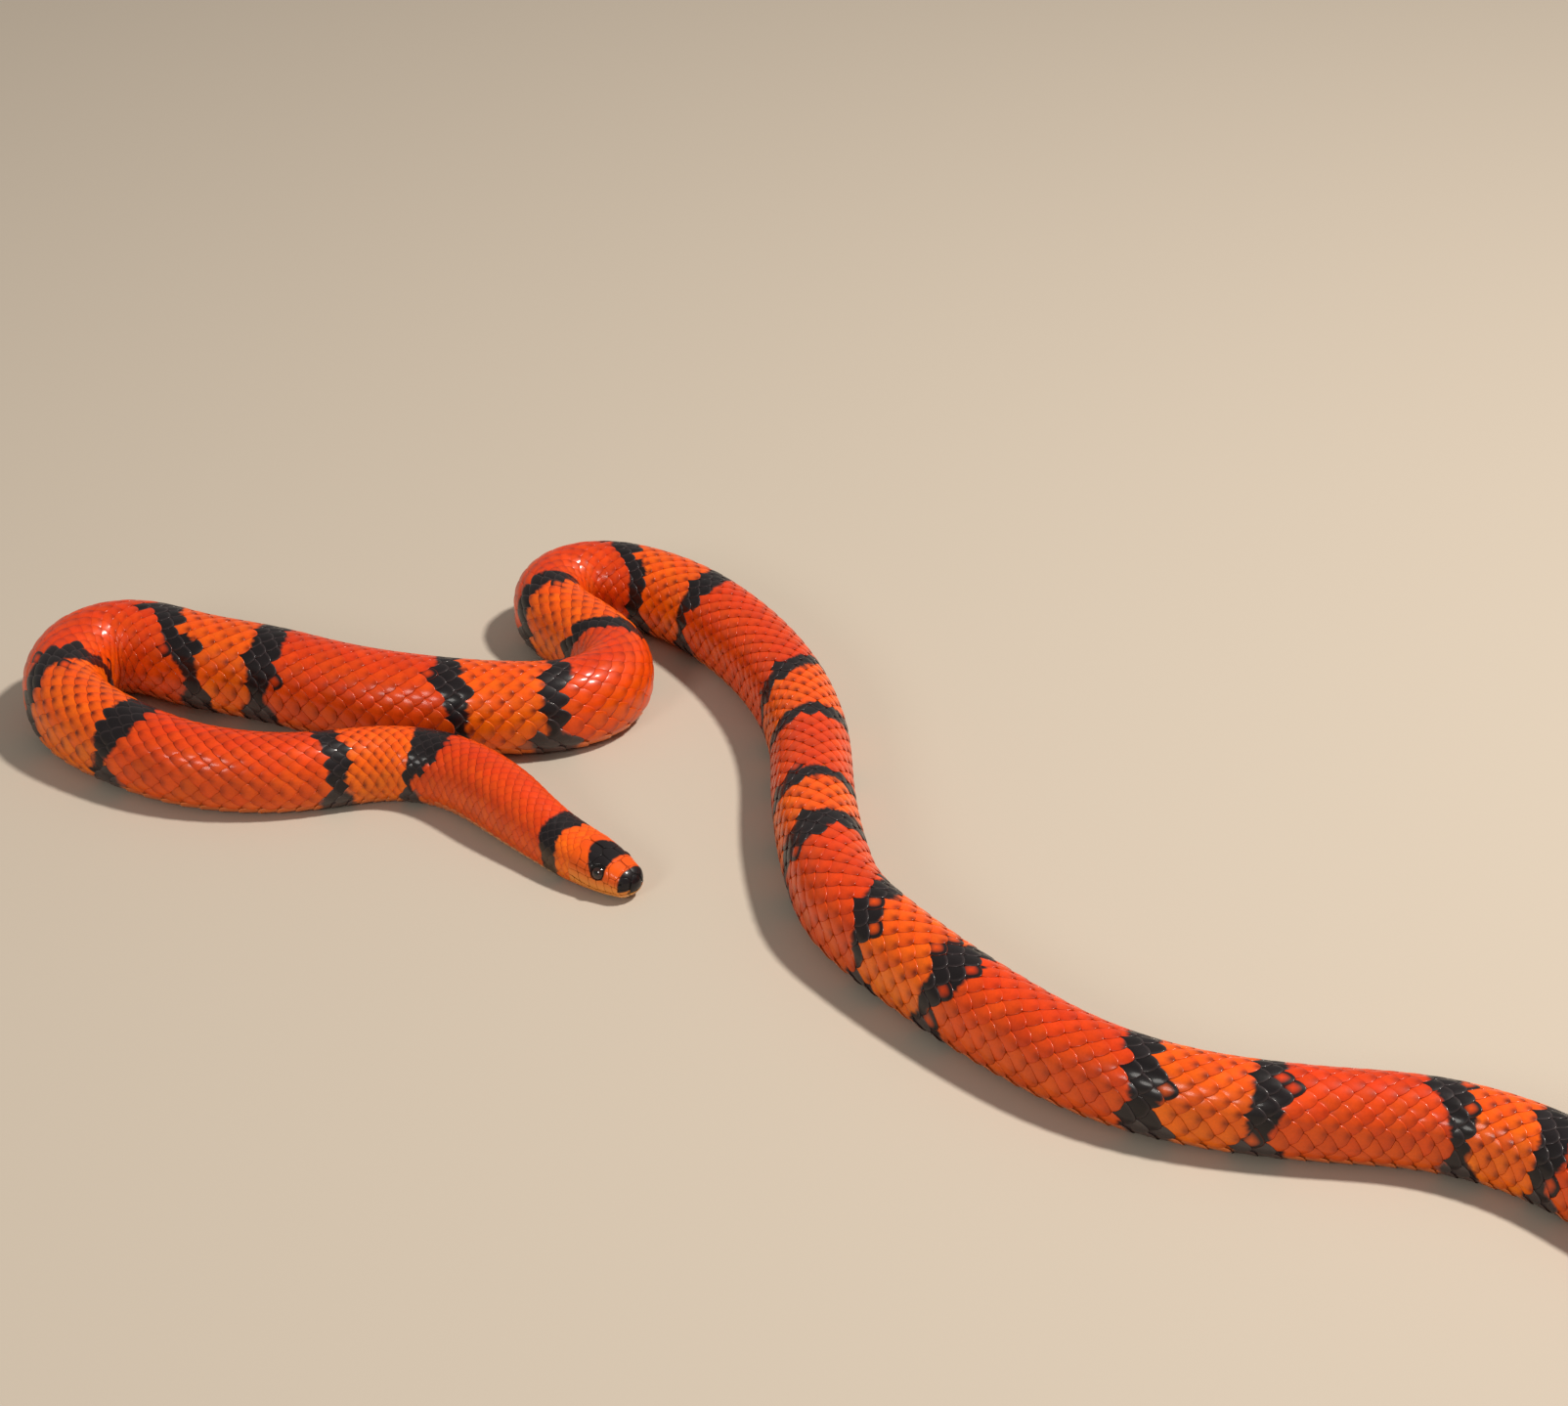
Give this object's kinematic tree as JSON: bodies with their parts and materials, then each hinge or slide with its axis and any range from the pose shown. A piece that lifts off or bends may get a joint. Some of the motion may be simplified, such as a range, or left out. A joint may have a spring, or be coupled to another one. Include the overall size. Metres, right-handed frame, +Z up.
{
  "type": "milk snake model",
  "caption": "Life-size milk snake lying on its belly in a hairpin, tight bends and a long curve, banded orange-red, tangerine and black.",
  "frame": {"origin": "middle of the bounding box at the level of the belly, on the surface the animal lies on", "axes": "+X along the length of the lying shape, from the hairpin near the head towards the tail; +Y away from the viewer of the picture; +Z up"},
  "size_m": [0.5904, 0.3648, 0.0279],
  "materials": {
    "head_skin": "smooth satin horn-like head shields, orange and black",
    "body_skin": "smooth glossy overlapping scales, orange-red with black rings",
    "eye": "wet gloss, near black"
  },
  "bodies": {
    "root": {"head": "head_skin", "eye_right": "eye", "eye_left": "eye", "neck": "body_skin", "trunk_1": "body_skin", "trunk_2": "body_skin", "trunk_3": "body_skin", "trunk_4": "body_skin", "trunk_5": "body_skin", "trunk_6": "body_skin", "trunk_7": "body_skin", "trunk_8": "body_skin", "trunk_9": "body_skin", "trunk_10": "body_skin", "tail_base": "body_skin", "tail_tip": "body_skin"}
  },
  "joints": []
}
